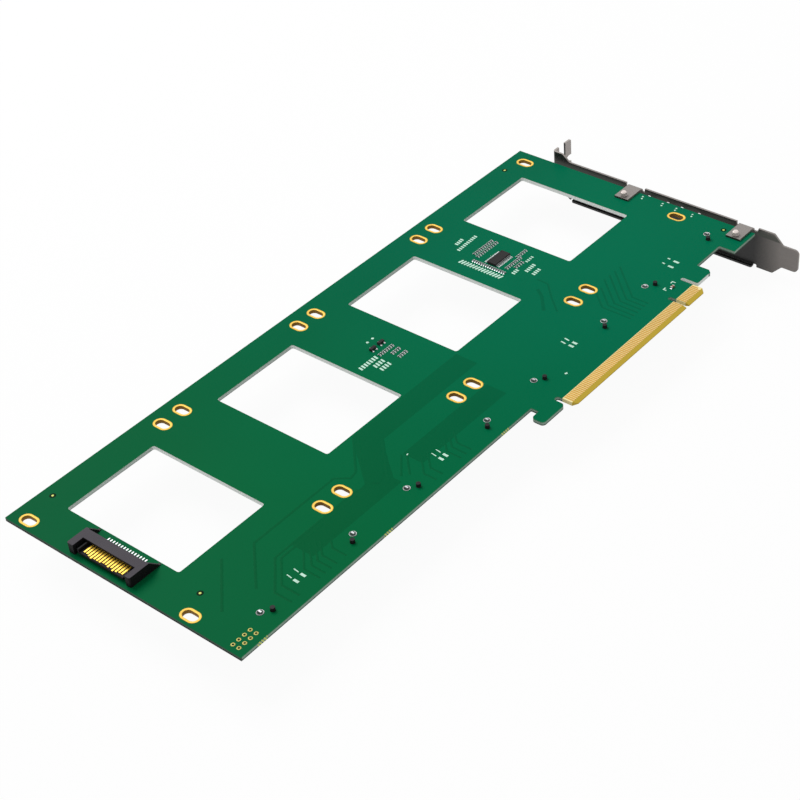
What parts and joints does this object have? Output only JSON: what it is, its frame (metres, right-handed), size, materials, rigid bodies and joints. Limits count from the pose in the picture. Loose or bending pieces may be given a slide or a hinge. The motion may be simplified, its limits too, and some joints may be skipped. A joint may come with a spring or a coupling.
{
  "type": "pcie adapter card",
  "caption": "Long circuit board with a slot bracket at one end that carries flat drives under screw slots and windows, with a keyed gold edge connector and a power header.",
  "frame": {"origin": "centre line of the key notch at the tip of the gold contacts, halfway through the board", "axes": "+X from the board towards its gold contacts, +Y towards the mounting bracket, +Z out of the solder side, away from the drives"},
  "size_m": [0.1359, 0.3012, 0.0216],
  "materials": {
    "board_mask": "glossy green solder mask on a glass-fibre laminate",
    "gold_plate": "thin gold plate on copper",
    "bracket_steel": "nickel-plated steel sheet, satin",
    "screw_steel": "bright zinc-plated steel",
    "receptacle_mould": "black moulded plastic",
    "header_mould": "dark grey moulded plastic",
    "tinned_metal": "tinned metal and solder",
    "chip_mould": "black moulded epoxy",
    "ceramic_parts": "brown ceramic with tinned ends",
    "capacitor_mould": "dark moulded plastic",
    "light_body": "milky plastic"
  },
  "bodies": {
    "root": {"circuit_board": "board_mask", "edge_contacts_solder_side": "gold_plate", "edge_contacts_component_side": "gold_plate", "mounting_bracket": "bracket_steel", "bracket_screws": "screw_steel", "power_header_housing": "header_mould", "power_header_contacts": "gold_plate", "power_header_hold_downs": "tinned_metal", "clock_chip_body": "chip_mould", "clock_chip_leads": "tinned_metal", "clock_chip_passives": "ceramic_parts", "control_passives": "ceramic_parts", "edge_capacitor": "ceramic_parts", "transistor_bodies": "chip_mould", "transistor_legs": "tinned_metal", "drive_receptacle_1": "receptacle_mould", "receptacle_contacts_1": "gold_plate", "receptacle_locks_1": "tinned_metal", "reservoir_capacitors_1": "capacitor_mould", "status_light_1": "light_body", "drive_receptacle_2": "receptacle_mould", "receptacle_contacts_2": "gold_plate", "receptacle_locks_2": "tinned_metal", "reservoir_capacitors_2": "capacitor_mould", "status_light_2": "light_body", "drive_receptacle_3": "receptacle_mould", "receptacle_contacts_3": "gold_plate", "receptacle_locks_3": "tinned_metal", "reservoir_capacitors_3": "capacitor_mould", "status_light_3": "light_body", "drive_receptacle_4": "receptacle_mould", "receptacle_contacts_4": "gold_plate", "receptacle_locks_4": "tinned_metal", "reservoir_capacitors_4": "capacitor_mould", "status_light_4": "light_body"}
  },
  "joints": []
}
